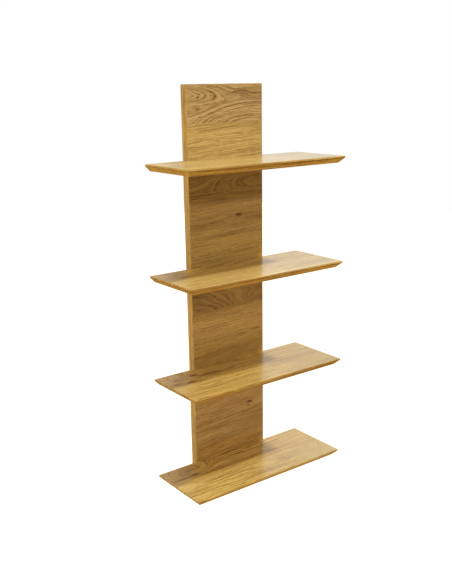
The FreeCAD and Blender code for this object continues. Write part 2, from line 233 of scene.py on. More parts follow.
# %% The shaded patch of wall that the left wings mirror
card_left = -0.16
card_right = 0.05
card_bottom = -1.25
card_top = -0.06
card_behind = 0.25
fade_start = -0.11
fade_end = 0.00
open_wall = 0.95
shaded_wall = 0.34
low_corners = [(card_left, card_behind, card_bottom), (card_right, card_behind, card_bottom)]
high_corners = [(card_right, card_behind, card_top), (card_left, card_behind, card_top)]
shade_mesh = bpy.data.meshes.new("wall_shade")
shade_mesh.from_pydata(low_corners + high_corners, [], [(0, 1, 2, 3)])
shade = add_object("wall_shade", shade_mesh)
for rays in ("camera", "diffuse", "transmission", "shadow"):
    setattr(shade, f"visible_{rays}", False)

grey = blank_material("shaded_wall_paint")
card = grey.node_tree
sideways = own_place(card, "X")
fading = add_node(card, "MapRange", {
    "Value": sideways, "From Min": fade_start, "From Max": fade_end, "To Min": open_wall,
    "To Max": shaded_wall}, interpolation_type="SMOOTHSTEP")
dim = add_node(card, "Emission", {"Color": linear("#FFEAD4"), "Strength": fading})
add_node(card, "OutputMaterial", {"Surface": dim})
shade_mesh.materials.append(grey)
print("shade card behind the panel, for mirrored rays only")

# %% [markdown]
# ## Oak, the finish of almost everything
#
# Oak is sliced into veneer, laid in staves side by side and finished with a satin lacquer. Each growth
# ring has a porous early band that looks like a dark line of short dashes, and a dense late band that is
# lighter. Cut along the trunk, the rings draw lines along the board, and where the cut runs nearly level
# with a ring they close into ovals.
#
# An image would repeat and isn't allowed here. The rings are drawn as the contour lines of a landscape
# instead: a slope across the stave gives straight lines, broad soft hills bend them, and a hill that is
# steeper than the slope closes them into ovals. Each stave takes its own part of the landscape, so the
# lines break at the seams.

# %% Where the pattern lies: X along the fibres, Y across them, in metres
def grain_space(tree, turn):
    if turn is None:
        return add_node(tree, "UVMap", uv_map="veneer")
    place = add_node(tree, "TexCoord").outputs["Object"]
    return add_node(tree, "Mapping", {"Vector": place, "Rotation": turn})


# %% Which stave a point lies on
def stave_number(tree, across, width, first):
    reach = add_node(tree, "Math", {0: across, 1: first}, operation="SUBTRACT")
    count = add_node(tree, "Math", {0: reach, 1: width}, operation="DIVIDE")
    return add_node(tree, "Math", {0: count}, operation="FLOOR")


# %% Noise stretched along the fibres: length and width of its features in millimetres
def stretched_noise(tree, grain, spread, length, width, detail=2.0):
    scale = (*per_metre(length, width), 0.0)
    place = add_node(tree, "VectorMath", {0: grain, 1: scale, 2: spread}, operation="MULTIPLY_ADD")
    return add_node(tree, "TexNoise", {"Vector": place, "Scale": 1.0, "Detail": detail, "Roughness": 0.55})


# %% Three settings for each stave, looked up by the stave's number
def stave_settings(tree, number, rows):
    middle = add_node(tree, "Math", {0: number, 1: 0.5}, operation="ADD")
    rounds = add_node(tree, "Math", {0: middle, 1: len(rows)}, operation="DIVIDE")
    position = add_node(tree, "Math", {0: rounds, 1: 1.0}, operation="FLOORED_MODULO")
    laid = add_node(tree, "ValToRGB", {"Fac": position})
    stops = laid.color_ramp.elements
    laid.color_ramp.interpolation = "CONSTANT"
    stops.remove(stops[1])
    for place, row in enumerate(rows):
        stop = stops[0] if place == 0 else stops.new(place / len(rows))
        stop.color = (*row, 1.0)
    return laid


# %% What a stave is like: its tint, and the slope, lean and contrast of its rings
def stave_character(tree, number, staves):
    # a colour ramp holds values from 0 to 1, so they are stored halved or shifted
    half_tints = [[channel / 2 for channel in colour] for colour, slope, lean, contrast in staves]
    half_cuts = [(slope / 2, lean + 0.5, contrast / 2) for colour, slope, lean, contrast in staves]
    half_tint = stave_settings(tree, number, half_tints)
    cut = stave_settings(tree, number, half_cuts)
    halves = add_node(tree, "SeparateColor", {"Color": cut}).outputs
    slope = add_node(tree, "Math", {0: halves["Red"], 1: 2.0}, operation="MULTIPLY")
    lean = add_node(tree, "Math", {0: halves["Green"], 1: 0.5}, operation="SUBTRACT")
    contrast = add_node(tree, "Math", {0: halves["Blue"], 1: 2.0}, operation="MULTIPLY")
    return half_tint, slope, lean, contrast


# %% The ring landscape, counted in rings: a leaning slope, hills, crowding and a fine wobble
# each noise has a length and a width in millimetres, and a detail
hills = (417, 111, 1.5)
crowding = (500, 25, 0.0)
wobble = (83.3, 11.1, 2.0)
crowding_rise = 10 * millimetre
wobble_rise = 4 * millimetre
level_hills = 1.25


def ring_count(tree, grain, spread, slope, lean, spacing, hill_rise):
    place = add_node(tree, "SeparateXYZ", {"Vector": grain}).outputs
    level = add_node(tree, "Math", {0: place["X"], 1: lean, 2: place["Y"]}, operation="MULTIPLY_ADD")
    height = add_node(tree, "Math", {0: level, 1: slope}, operation="MULTIPLY")
    # a steep stave is straight-grained, so its hills are lower
    hill_height = add_node(tree, "Math", {
        0: slope, 1: -hill_rise, 2: level_hills * hill_rise}, operation="MULTIPLY_ADD")
    for size, rise in ((hills, hill_height), (crowding, crowding_rise), (wobble, wobble_rise)):
        swell = stretched_noise(tree, grain, spread, *size)
        height = add_node(tree, "Math", {0: swell, 1: rise, 2: height}, operation="MULTIPLY_ADD")
    return add_node(tree, "Math", {0: height, 1: spacing}, operation="DIVIDE")


# %% Ovals and knots at chosen places, in millimetres: extra hills, each with a share of darker wood
def add_figures(tree, grain, rings, number, figures):
    dark = 0.0
    for stave, along, across, long_half, wide_half, rise, darkness in figures:
        inside = add_node(tree, "Math", {0: number, 1: stave, 2: 0.5}, operation="COMPARE")
        centre = (along * millimetre, across * millimetre, 0.0)
        away = add_node(tree, "VectorMath", {0: grain, 1: centre}, operation="SUBTRACT")
        scale = (*per_metre(long_half, wide_half), 0.0)
        scaled = add_node(tree, "VectorMath", {0: away, 1: scale}, operation="MULTIPLY")
        reach = add_node(tree, "VectorMath", {0: scaled}, operation="LENGTH")
        hill = add_node(tree, "MapRange", {
            "Value": reach, "To Min": rise, "To Max": 0.0}, interpolation_type="SMOOTHERSTEP")
        rings = add_node(tree, "Math", {0: hill, 1: inside, 2: rings}, operation="MULTIPLY_ADD")
        if darkness:
            heart = add_node(tree, "MapRange", {
                "Value": reach, "To Min": darkness, "To Max": 0.0}, interpolation_type="SMOOTHSTEP")
            dark = add_node(tree, "Math", {0: heart, 1: inside, 2: dark}, operation="MULTIPLY_ADD")
    return rings, dark


# %% [markdown]
# ### From rings to colour
#
# The place within a ring tells early wood from late wood: each ring starts with a dark porous line and
# fades. No two years are alike, so every ring has a strength of its own, and the line comes and goes a
# little along the board. Pores are 0.3 mm wide in real oak, about a tenth of a pixel in this picture, so
# they are drawn as dashes a millimetre or two wide to show at all, with a finer set between them for a
# nearer view. Long streaks and broad clouds give the change from golden to brown within one sheet.

# %% The dark line of each ring
ring_profile = ((0.0, 0.9), (0.10, 1.0), (0.38, 0.35), (0.72, 0.05), (0.92, 0.0), (1.0, 0.9))
presence = (50, 5.3)
years_apart = 1000.0
rarity = 1.6


def ring_lines(tree, grain, spread, rings, seed):
    within = add_node(tree, "Math", {0: rings}, operation="FRACT")
    early = add_node(tree, "ValToRGB", {"Fac": within})
    stops = early.color_ramp.elements
    for place, value in ring_profile:
        stop = stops.new(place)
        stop.color = (value, value, value, 1.0)
    stops.remove(stops[0])
    stops.remove(stops[-1])
    year = add_node(tree, "Math", {0: rings}, operation="FLOOR")
    named = add_node(tree, "Math", {0: seed, 1: years_apart, 2: year}, operation="MULTIPLY_ADD")
    fate = add_node(tree, "TexWhiteNoise", {"W": named}, noise_dimensions="1D")
    rare = add_node(tree, "Math", {0: fate, 1: rarity}, operation="POWER")
    strength = add_node(tree, "MapRange", {"Value": rare, "To Min": 0.22, "To Max": 1.20})
    coming = stretched_noise(tree, grain, spread, *presence)
    present = add_node(tree, "MapRange", {
        "Value": coming, "From Min": 0.36, "From Max": 0.60, "To Min": 0.25})
    weighed = add_node(tree, "Math", {0: early, 1: strength}, operation="MULTIPLY")
    return add_node(tree, "Math", {0: weighed, 1: present}, operation="MULTIPLY")


# %% Late wood to early wood, by ring and by streak
streak = (143, 3.3, 3.0)
late_wood = linear("#CCB265")
early_wood = linear("#7C561F")


def two_woods(tree, flow, spread, lines, contrast):
    streaks = stretched_noise(tree, flow, spread, *streak)
    streak_share = add_node(tree, "MapRange", {
        "Value": streaks, "From Min": 0.30, "From Max": 0.70, "To Min": -0.25, "To Max": 0.62})
    calm = add_node(tree, "MapRange", {"Value": contrast, "From Min": 0.3, "To Min": 0.6, "To Max": 1.1})
    calm_streaks = add_node(tree, "Math", {0: streak_share, 1: calm}, operation="MULTIPLY")
    early_share = add_node(tree, "Math", {
        0: lines, 1: contrast, 2: calm_streaks}, operation="MULTIPLY_ADD", use_clamp=True)
    return add_node(tree, "Mix", {
        "Factor_Float": early_share, "A_Color": late_wood, "B_Color": early_wood}, data_type="RGBA")


# %% Pores, mostly in the early wood, and short pale flecks between them
pore = (22, 2.3)
fine_pore = (9, 0.8)
late_pores = 0.3
pore_brown = linear("#4E3110")
pale_fleck = linear("#D5BD75")


def with_pores(tree, grain, spread, lines, wood):
    pores = stretched_noise(tree, grain, spread, *pore)
    pore_share = add_node(tree, "MapRange", {
        "Value": pores, "From Min": 0.53, "From Max": 0.70, "To Max": 0.75})
    mask = add_node(tree, "Math", {0: lines, 1: 1 - late_pores, 2: late_pores}, operation="MULTIPLY_ADD")
    long_pores = add_node(tree, "Math", {0: pore_share, 1: mask}, operation="MULTIPLY")
    fine = stretched_noise(tree, grain, spread, *fine_pore)
    fine_pores = add_node(tree, "MapRange", {
        "Value": fine, "From Min": 0.56, "From Max": 0.66, "To Max": 0.40})
    depth = add_node(tree, "Math", {0: long_pores, 1: fine_pores}, operation="MAXIMUM")
    porous = add_node(tree, "Mix", {
        "Factor_Float": depth, "A_Color": wood, "B_Color": pore_brown}, data_type="RGBA")
    flecks = add_node(tree, "MapRange", {
        "Value": pores, "From Min": 0.44, "From Max": 0.30, "To Max": 0.55})
    flecked = add_node(tree, "Mix", {
        "Factor_Float": flecks, "A_Color": porous, "B_Color": pale_fleck}, data_type="RGBA")
    return flecked, depth


# %% Brown clouds, the hearts of knots, and a glue line where there is one
cloud = (500, 62)
cloud_brown = linear("#6E4A1E")


def with_clouds(tree, grain, spread, wood, dark, glue):
    clouds = stretched_noise(tree, grain, spread, *cloud)
    cloud_share = add_node(tree, "MapRange", {
        "Value": clouds, "From Min": 0.42, "From Max": 0.75, "To Max": 0.40})
    brown = add_node(tree, "Math", {0: cloud_share, 1: dark}, operation="ADD", use_clamp=True)
    if glue is not None:
        brown = add_node(tree, "Math", {0: brown, 1: glue}, operation="MAXIMUM")
    return add_node(tree, "Mix", {
        "Factor_Float": brown, "A_Color": wood, "B_Color": cloud_brown}, data_type="RGBA")


# %% [markdown]
# ### What only some of the pieces have
#
# The nose and the undercut of a board are two strips with a dark glue line between them, told apart by how
# far down a point lies. The undercut's strip is darker and warmer than the nose's: partly its own colour,
# partly painted shade on a face that looks down. Their ends show short ticks, on some boards hardly any.
# The panel has another sheet on its back, whose staves follow those of the front in the list. The figure
# of the boards fades towards their right end. With fewer dark lines the wood would come out too pale
# there, so its tint is deepened to match, and darkened a little further there with painted shade.

# %% The two strips of an edge: which one, how lively its lines are, and the glue line between them
def edge_strips(tree, arris_line):
    fold = add_node(tree, "UVMap", uv_map="drop")
    place = add_node(tree, "SeparateXYZ", {"Vector": fold}).outputs
    strip = add_node(tree, "Math", {0: place["X"], 1: arris_line}, operation="GREATER_THAN")
    lively = add_node(tree, "Math", {0: 1.0, 1: place["Y"]}, operation="SUBTRACT")
    off = add_node(tree, "Math", {0: place["X"], 1: arris_line}, operation="SUBTRACT")
    gap = add_node(tree, "Math", {0: off}, operation="ABSOLUTE")
    glue = add_node(tree, "MapRange", {
        "Value": gap, "From Min": 0.6 * millimetre, "From Max": 1.8 * millimetre, "To Min": 0.65,
        "To Max": 0.0})
    return strip, lively, glue


# %% The sheet on the back: the second half of the staves
def back_number(tree, number, back_sheet, count):
    depth = own_place(tree, "Y")
    behind = add_node(tree, "Math", {0: depth, 1: back_sheet}, operation="GREATER_THAN")
    return add_node(tree, "Math", {0: behind, 1: count / 2, 2: number}, operation="MULTIPLY_ADD")


# %% Calmer towards the right end, and darker there: deeper wood and painted shade
calm_start = 0.06
calm_full = 0.24


def calm_and_shade_to_the_right(tree, number, contrast, half_tint, calm_and_shaded_ends):
    calm = stave_settings(tree, number, [(calm, calm, calm) for calm, tone in calm_and_shaded_ends])
    end_tint_and_painted_shade = stave_settings(tree, number, [tone for calm, tone in calm_and_shaded_ends])
    rightwards = own_place(tree, "X")
    share = add_node(tree, "MapRange", {
        "Value": rightwards, "From Min": calm_start, "From Max": calm_full},
        interpolation_type="SMOOTHSTEP")
    kept = add_node(tree, "Mix", {"Factor_Float": share, "A_Float": 1.0, "B_Float": calm})
    # the right end's tint darkens the wood there, partly for its calmer figure and partly as painted shade
    tone = add_node(tree, "Mix", {
        "Factor_Float": share, "A_Color": white, "B_Color": end_tint_and_painted_shade}, data_type="RGBA")
    contrast = add_node(tree, "Math", {0: contrast, 1: kept}, operation="MULTIPLY")
    half_tint = add_node(tree, "VectorMath", {0: half_tint, 1: tone}, operation="MULTIPLY")
    return contrast, half_tint


# %% [markdown]
# ### Lacquered oak, put together
#
# The lacquer gives the eye a soft sheen over the wood. It fills most of each pore, which is left as a
# slight dip that is a little duller. A lacquer's index of refraction is about 1.5. The tops in the
# photograph mirror the white room more than that, and the panel and the edges much less, so index and
# sheen are matched for each.

# %% Lacquered oak: staves are rows of tint, slope, lean and contrast
staves_apart = (37.0, 53.0, 71.0)
pore_dullness = 0.2
pore_dip = 0.2 * millimetre


def lacquered_oak(
        name, turn, staves, spacing, hill_rise, stave_width=None, first_stave=None, figures=(), sheet=0.0,
        sheen=0.24, index=1.75, arris_line=None, back_sheet=None, calm_and_shaded_ends=None):
    material = blank_material(name)
    tree = material.node_tree
    grain = grain_space(tree, turn)
    place = add_node(tree, "SeparateXYZ", {"Vector": grain}).outputs
    number = 0.0
    glue = None
    if stave_width is not None:
        number = stave_number(tree, place["Y"], stave_width, first_stave)
    if arris_line is not None:
        number, lively, glue = edge_strips(tree, arris_line)
    if back_sheet is not None:
        number = back_number(tree, number, back_sheet, len(staves))
    counted = add_node(tree, "Math", {0: number, 1: sheet}, operation="ADD")
    chance = add_node(tree, "TexWhiteNoise", {"W": counted}, noise_dimensions="1D").outputs
    spread = add_node(tree, "VectorMath", {0: chance["Color"], 1: staves_apart}, operation="MULTIPLY")
    half_tint, slope, lean, contrast = stave_character(tree, number, staves)
    if arris_line is not None:
        contrast = add_node(tree, "Math", {0: contrast, 1: lively}, operation="MULTIPLY")
    if calm_and_shaded_ends is not None:
        contrast, half_tint = calm_and_shade_to_the_right(tree, number, contrast, half_tint, calm_and_shaded_ends)
    rings = ring_count(tree, grain, spread, slope, lean, spacing, hill_rise)
    rings, dark = add_figures(tree, grain, rings, number, figures)
    # streaks follow the rings: along the board they keep their place, across it they count in rings
    ring_way = add_node(tree, "Math", {0: rings, 1: spacing}, operation="MULTIPLY")
    flow = add_node(tree, "CombineXYZ", {"X": place["X"], "Y": ring_way})
    lines = ring_lines(tree, grain, spread, rings, chance["Value"])
    wood = two_woods(tree, flow, spread, lines, contrast)
    wood, pore_depth = with_pores(tree, grain, spread, lines, wood)
    wood = with_clouds(tree, grain, spread, wood, dark, glue)
    half_toned = add_node(tree, "VectorMath", {0: wood, 1: half_tint}, operation="MULTIPLY")
    toned = add_node(tree, "VectorMath", {0: half_toned, 3: 2.0}, operation="SCALE")
    dull = add_node(tree, "MapRange", {
        "Value": pore_depth, "To Min": sheen, "To Max": sheen + pore_dullness})
    dip = add_node(tree, "Math", {0: 1.0, 1: pore_depth}, operation="SUBTRACT")
    relief = add_node(tree, "Bump", {"Height": dip, "Strength": 0.25, "Distance": pore_dip})
    surface = add_node(tree, "BsdfPrincipled", {
        "Base Color": toned, "Roughness": dull, "Normal": relief, "IOR": index})
    add_node(tree, "OutputMaterial", {"Surface": surface})
    print(name, "has", len(tree.nodes), "nodes")
    return material


# %% [markdown]
# ## The four shelf boards
#
# Each board has a short upright nose and a 45 degree undercut on the front and both ends, mitred at the
# corners. The CAD mesh would do for the shape, but its arrises are knife-sharp and it has no UV map. A
# mesh of its own gives the board softly broken arrises, and two UV maps in metres. One unfolds the
# surface, so that lines run along the top and along the front edge and turn into short upright ticks on
# the ends. The other keeps how far down a point lies, which parts the nose from the undercut, and how
# plain an end is.

# %% Sizes of a board, from the CAD frame
shelf_names = ["top_shelf", "upper_shelf", "lower_shelf", "bottom_shelf"]
board_low, board_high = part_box("top_shelf")
half_length = board_high[0]
front = board_low[1]
back = board_high[1]
thickness = board_high[2] - board_low[2]
nose = 6 * millimetre
undercut = thickness - nose
arris = 0.8 * millimetre
print("board:", round(2 * half_length, 4), "x", round(back - front, 4), "x", round(thickness, 4))


# %% The board's mesh: three rims, joined and softened
def shelf_board(name):
    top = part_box(name)[1][2]
    board = bmesh.new()
    rims = []
    for drop, inset in ((0.0, 0.0), (nose, 0.0), (thickness, undercut)):
        side = half_length - inset
        corners = ((-side, front + inset), (side, front + inset), (side, back), (-side, back))
        rims.append([board.verts.new((x, y, top - drop)) for x, y in corners])
    board.faces.new(rims[0])
    board.faces.new(rims[-1][::-1])
    for upper, lower in zip(rims, rims[1:]):
        for i in range(4):
            j = (i + 1) % 4
            board.faces.new((upper[i], lower[i], lower[j], upper[j]))
    bmesh.ops.recalc_face_normals(board, faces=board.faces)
    soft_edges = [e for e in board.edges if min(v.co.y for v in e.verts) < back - arris]
    bmesh.ops.bevel(board, geom=soft_edges, offset=arris, segments=3, profile=0.5, affect="EDGES",
                    clamp_overlap=True)
    return board, top


# %% Unfold the veneer over the edges; the underside takes a sheet from further along
tick_scale = 0.4
underside_shift = 3.0
nearly_square = 0.9


def unfold(board, top, slide, end_plainness):
    layer = board.loops.layers.uv.new("veneer")
    drops = board.loops.layers.uv.new("drop")
    for face in board.faces:
        normal = face.normal
        on_end = abs(normal.x) > abs(normal.y)
        plainness = end_plainness if on_end else 0.0
        for loop in face.loops:
            x, y, z = loop.vert.co
            drop = top - z
            down = min(drop, nose) + max(drop - nose, 0.0) * math.sqrt(2)
            if normal.z > 0.5:
                place = (x, y)
            elif normal.z < -nearly_square:
                place = (x + underside_shift, y)
            elif normal.y > nearly_square:
                place = (x, z)
            elif on_end:
                place = (math.copysign(half_length + down, x), tick_scale * y)
            else:
                place = (x, front - down)
            loop[layer].uv = (place[0] + slide[0], place[1] + slide[1])
            loop[drops].uv = (drop, plainness)
        face.material_index = int(abs(normal.z) < nearly_square)


# %% [markdown]
# A board is drilled from behind, in step with the panel: three pilot holes for the screws and two holes
# for dowels. They are hidden once the shelf is together, but a board taken out of the assembly shows how
# it is held. A Geometry Nodes tree sets drills in a row and cuts them out, and is run once for each kind
# of hole.

# %% A tree with named inputs
def geometry_tree(name, inputs):
    tree = bpy.data.node_groups.new(name, "GeometryNodeTree")
    tree.interface.new_socket("Geometry", in_out="OUTPUT", socket_type="NodeSocketGeometry")
    for title, kind in inputs.items():
        tree.interface.new_socket(title, in_out="INPUT", socket_type=f"NodeSocket{kind}")
    return tree


# %% The tree for a row of drilled holes
drilled = geometry_tree("drilled_row", {
    "Geometry": "Geometry", "Radius": "Float", "Length": "Float", "Count": "Int", "First": "Vector",
    "Step": "Vector", "Material": "Material"})
asked = add_node(drilled, "NodeGroupInput").outputs
drill = add_node(drilled, "MeshCylinder", {
    "Vertices": 24, "Radius": asked["Radius"], "Depth": asked["Length"]})
laid_drill = add_node(drilled, "Transform", {"Geometry": drill, "Rotation": (math.radians(90), 0.0, 0.0)})
drill_row = add_node(drilled, "MeshLine", {
    "Count": asked["Count"], "Start Location": asked["First"], "Offset": asked["Step"]})
drill_copies = add_node(drilled, "InstanceOnPoints", {"Points": drill_row, "Instance": laid_drill})
drills = add_node(drilled, "RealizeInstances", {"Geometry": drill_copies})
bored = add_node(drilled, "MeshBoolean", {
    "Mesh 1": asked["Geometry"], "Mesh 2": drills}, operation="DIFFERENCE", solver="EXACT")
whole_board = add_node(drilled, "RealizeInstances", {"Geometry": bored})
veneered = add_node(drilled, "SetMaterial", {"Geometry": whole_board, "Material": asked["Material"]})
add_node(drilled, "NodeGroupOutput", {0: veneered})
print("drilled_row has", len(drilled.nodes), "nodes")


# %% Run a mesh through a tree, once for each row of settings, and keep a plain mesh
def through_tree(mesh, tree, rows):
    blank = add_object(f"{mesh.name}_blank", mesh)
    for settings in rows:
        step = blank.modifiers.new(tree.name, "NODES")
        step.node_group = tree
        for item in tree.interface.items_tree:
            if item.in_out == "INPUT" and item.name in settings:
                step[item.identifier] = settings[item.name]
    made = bpy.data.meshes.new_from_object(blank.evaluated_get(bpy.context.evaluated_depsgraph_get()))
    bpy.data.objects.remove(blank)
    return made


# %% A row of holes, centred on the board, from just behind its back to their ends
fastener_spacing = 100 * millimetre
across_step = (fastener_spacing, 0.0, 0.0)
drill_overrun = 4 * millimetre


def row_start(count):
    return -fastener_spacing * (count - 1) / 2


def row_of_holes(level, radius, end, count, material):
    entry = back + drill_overrun
    return {"Radius": radius, "Length": entry - end, "Count": count, "Material": material,
            "First": (row_start(count), (entry + end) / 2, level), "Step": across_step}


# %% [markdown]
# ### The veneer of the boards
#
# Every board has two staves. One finish serves all four boards, because each board's pattern is slid along
# and two staves across. Counted that way, the next board's front stave comes right after a board's back
# stave. The photograph shows which boards are golden, pale or brown, and where their knots and ovals lie,
# so these are placed one by one.

# %% The boards' staves, in the order in which they are counted
shelf_stave = 0.150
shelf_seam = -0.138
shelf_slide = (7.3, 2 * shelf_stave)


def in_stave_order(pairs):
    rear_rows = [rear for rear, fore in pairs]
    fore_rows = [fore for rear, fore in pairs]
    return [row for pair in zip(rear_rows, fore_rows[1:] + fore_rows[:1]) for row in pair]


# for each board the stave at the back, then the one at the front: tint, slope, lean, contrast
shelf_staves = in_stave_order([
    (((1.13, 1.12, 1.24), 0.50, 0.00, 0.40), ((1.09, 1.12, 1.24), 0.95, 0.02, 0.35)),
    (((1.14, 1.09, 1.03), 0.50, 0.00, 0.95), ((1.32, 1.36, 1.46), 0.95, 0.02, 0.65)),
    (((1.12, 1.06, 0.94), 0.50, 0.00, 1.05), ((1.06, 1.03, 0.90), 0.90, 0.02, 0.80)),
    (((1.22, 1.16, 1.01), 0.45, 0.00, 1.55), ((1.15, 1.15, 1.08), 0.80, 0.03, 1.15)),
])
# the share of the contrast that is left at a board's right end, and the tint there: deeper wood, and
# painted shade
calm_shaded_end = (0.50, (0.80, 0.80, 0.80))
calmest_shaded_end = (0.15, (0.78, 0.79, 0.96))
shelf_shaded_ends = in_stave_order([(calm, calm) for calm in (calm_shaded_end, calm_shaded_end, calm_shaded_end, calmest_shaded_end)])
print("staves on the boards:", len(shelf_staves))

# %% The boards' ovals and knots; where the darkness is below zero, the brown clouds are thinner
# board, then in millimetres place along and across, half length and half width; rise in rings, darkness
shelf_marks = [
    (1, -226, -110, 40, 11, 1.5, 0.80),
    (2, -220, -122, 30, 13, 2.5, 1.30),
    (2, -275, -114, 34, 10, 1.5, 0.90),
    (2, -255, -84, 22, 12, 1.5, 0.80),
    (2, -184, -76, 26, 15, 2.5, 1.30),
    (2, -130, -95, 100, 14, 1.0, 0.75),
    (2, -240, -60, 70, 40, 3.5, 0.00),
    (2, -190, -187, 110, 24, 1.5, 0.30),
    (2, -100, -250, 500, 30, 0.0, -0.45),
    (2, 230, -90, 160, 60, 0.0, -0.45),
    (3, -200, -65, 130, 65, 8.0, 0.20),
    (3, -240, -85, 50, 30, 3.5, 0.30),
    (3, -262, -103, 48, 9, 1.5, 0.75),
    (3, -205, -100, 34, 11, 2.0, 0.90),
    (3, -200, -64, 50, 14, 1.5, 0.55),
    (3, 250, -190, 70, 30, 3.0, 0.10),
    (3, 230, -90, 160, 60, 0.0, -0.35),
    (3, 220, -195, 260, 80, 0.0, -0.50),
]
shelf_figures = []
for shelf, along, across, *form in shelf_marks:
    stave = 2 * shelf + math.floor((across * millimetre - shelf_seam) / shelf_stave)
    slid = [shelf * slide / millimetre for slide in shelf_slide]
    shelf_figures.append((stave, along + slid[0], across + slid[1], *form))
print("placed figures on the boards:", len(shelf_figures))

# %% The finishes of the boards: satin on the flat faces, matt on the two strips of the edges
ring_spacing = 7 * millimetre
shelf_oak = lacquered_oak(
    "satin_lacquered_oak_veneer", None, shelf_staves, ring_spacing, hill_rise=70 * millimetre,
    stave_width=shelf_stave, first_stave=shelf_seam, figures=shelf_figures, calm_and_shaded_ends=shelf_shaded_ends)
# the undercut faces down: its strip is darker and warmer than the nose, partly its own colour and partly
# painted shade
nose_strip = ((1.24, 1.19, 1.16), 0.95, 0.00, 1.60)
undercut_strip_and_shade = ((1.10, 0.95, 0.70), 0.95, 0.00, 1.30)
edge_oak = lacquered_oak(
    "matt_lacquered_oak_veneer", None, [nose_strip, undercut_strip_and_shade], spacing=5 * millimetre,
    hill_rise=12 * millimetre, sheen=0.50, index=1.03, arris_line=nose)

# %% Make the four boards
# how plain the ends are, board by board: 0 shows every tick, 1 shows none
end_plainness = [0.85, 0.15, 0.45, 0.45]
pilot_radius = 2.6 * millimetre
pilot_end = -72 * millimetre
dowel_hole_radius = 4.1 * millimetre
dowel_hole_end = -55 * millimetre
for index, name in enumerate(shelf_names):
    board, top = shelf_board(name)
    solid = bpy.data.meshes.new(f"{name}_solid")
    board.to_mesh(solid)
    board.clear()
    middle = top - thickness / 2
    mesh = through_tree(solid, drilled, [
        row_of_holes(middle, pilot_radius, pilot_end, 3, shelf_oak),
        row_of_holes(middle, dowel_hole_radius, dowel_hole_end, 2, shelf_oak)])
    board.from_mesh(mesh)
    unfold(board, top, (shelf_slide[0] * index, shelf_slide[1] * index), end_plainness[index])
    mesh.materials.clear()
    mesh.materials.append(shelf_oak)
    mesh.materials.append(edge_oak)
    board.to_mesh(mesh)
    board.free()
    piece = add_object(f"{name}_board", mesh)
    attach(piece, "root")
    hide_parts(name)
    print(piece.name, len(mesh.polygons), "faces, top at", round(top, 4))

# %% [markdown]
# ## Panel and edge bands
#
# The panel's CAD solid is right as it is, with its drilled holes and let-in plates at the back, so it
# keeps its mesh and gets a finish that reads its place in the frame: fibres along X, staves counted
# downwards. Here too the photograph shows which staves are figured and which are plain, and where the
# ovals and knots lie.

# %% The staves of the panel, from the top down: tint, slope, lean, contrast
panel_stave = 0.120
panel_seam = -0.064
panel_staves = [
    ((0.97, 0.95, 1.24), 0.40, 0.00, 1.20),
    ((1.08, 1.07, 1.20), 0.95, 0.07, 0.60),
    ((0.55, 0.44, 0.29), 0.70, 0.00, 0.80),
    ((0.88, 0.80, 0.82), 0.90, 0.03, 0.55),
    ((0.95, 0.87, 0.82), 0.90, 0.05, 0.50),
    ((0.67, 0.58, 0.56), 0.20, 0.00, 0.85),
    ((0.98, 0.90, 0.94), 0.85, 0.05, 0.45),
    ((0.94, 0.82, 0.76), 0.90, 0.07, 0.50),
    ((1.03, 0.93, 1.06), 0.80, 0.07, 0.55),
    ((0.96, 0.87, 1.02), 0.85, 0.05, 0.60),
    ((0.98, 0.81, 0.76), 0.90, 0.05, 0.60),
]
# the sheet on the back was never chosen for its figure: three plain kinds of stave, taken in turn
plain_kinds = [
    ((0.98, 0.93, 0.98), 0.85, 0.03, 0.60),
    ((0.90, 0.84, 0.87), 0.60, 0.00, 0.75),
    ((1.04, 0.99, 1.04), 0.90, 0.04, 0.50),
]
back_staves = [plain_kinds[place % len(plain_kinds)] for place in range(len(panel_staves))]
print("panel staves:", len(panel_staves))

# %% The panel's ovals, knots and soft seams, and its finish
# stave, then in millimetres place along and down, half length and half width; rise in rings, darkness
panel_figures = [
    (0, 90, 95, 300, 150, 11.0, 0.00),
    (0, -220, -30, 320, 55, 9.0, -0.30),
    (0, 65, -32, 50, 20, 1.5, 0.35),
    (0, -30, -55, 150, 40, 0.0, -0.50),
    (1, 0, 150, 600, 90, 0.0, -0.35),
    (2, 190, 238, 400, 60, 8.0, 0.00),
    (2, 125, 231, 22, 13, 1.2, 0.55),
    (3, 0, 294, 900, 26, 0.0, 0.50),
    (3, 47, 351, 22, 9, 2.5, 1.00),
    (5, -200, 600, 420, 300, 7.0, 0.00),
    (6, 0, 655, 900, 20, 0.0, 0.30),
    (6, 55, 761, 40, 4, 0.5, 0.70),
    (6, 118, 754, 40, 5, 0.8, 0.80),
    (9, 85, 1019, 24, 11, 2.5, 1.20),
    (9, 80, 1033, 20, 7, 1.0, 0.55),
]
downwards = (math.radians(90), 0.0, 0.0)
panel_middle = -14 * millimetre
panel_oak = lacquered_oak(
    "satin_lacquered_oak_panel_veneer", downwards, panel_staves + back_staves, ring_spacing,
    hill_rise=50 * millimetre, stave_width=panel_stave, first_stave=panel_seam, figures=panel_figures,
    sheen=0.35, index=1.20, back_sheet=panel_middle)
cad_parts["back_panel"].material_slots[0].material = panel_oak
print("placed figures on the panel:", len(panel_figures))

# %% [markdown]
# The bands are thin strips of straight-grained oak glued to the panel's four edges and to the back of each
# shelf. They have no staves, only close lines along their length, so the same recipe serves with a single
# stave and a fine spacing. Three copies of it let the lines run upright, level along the ends of the
# panel, and level behind.

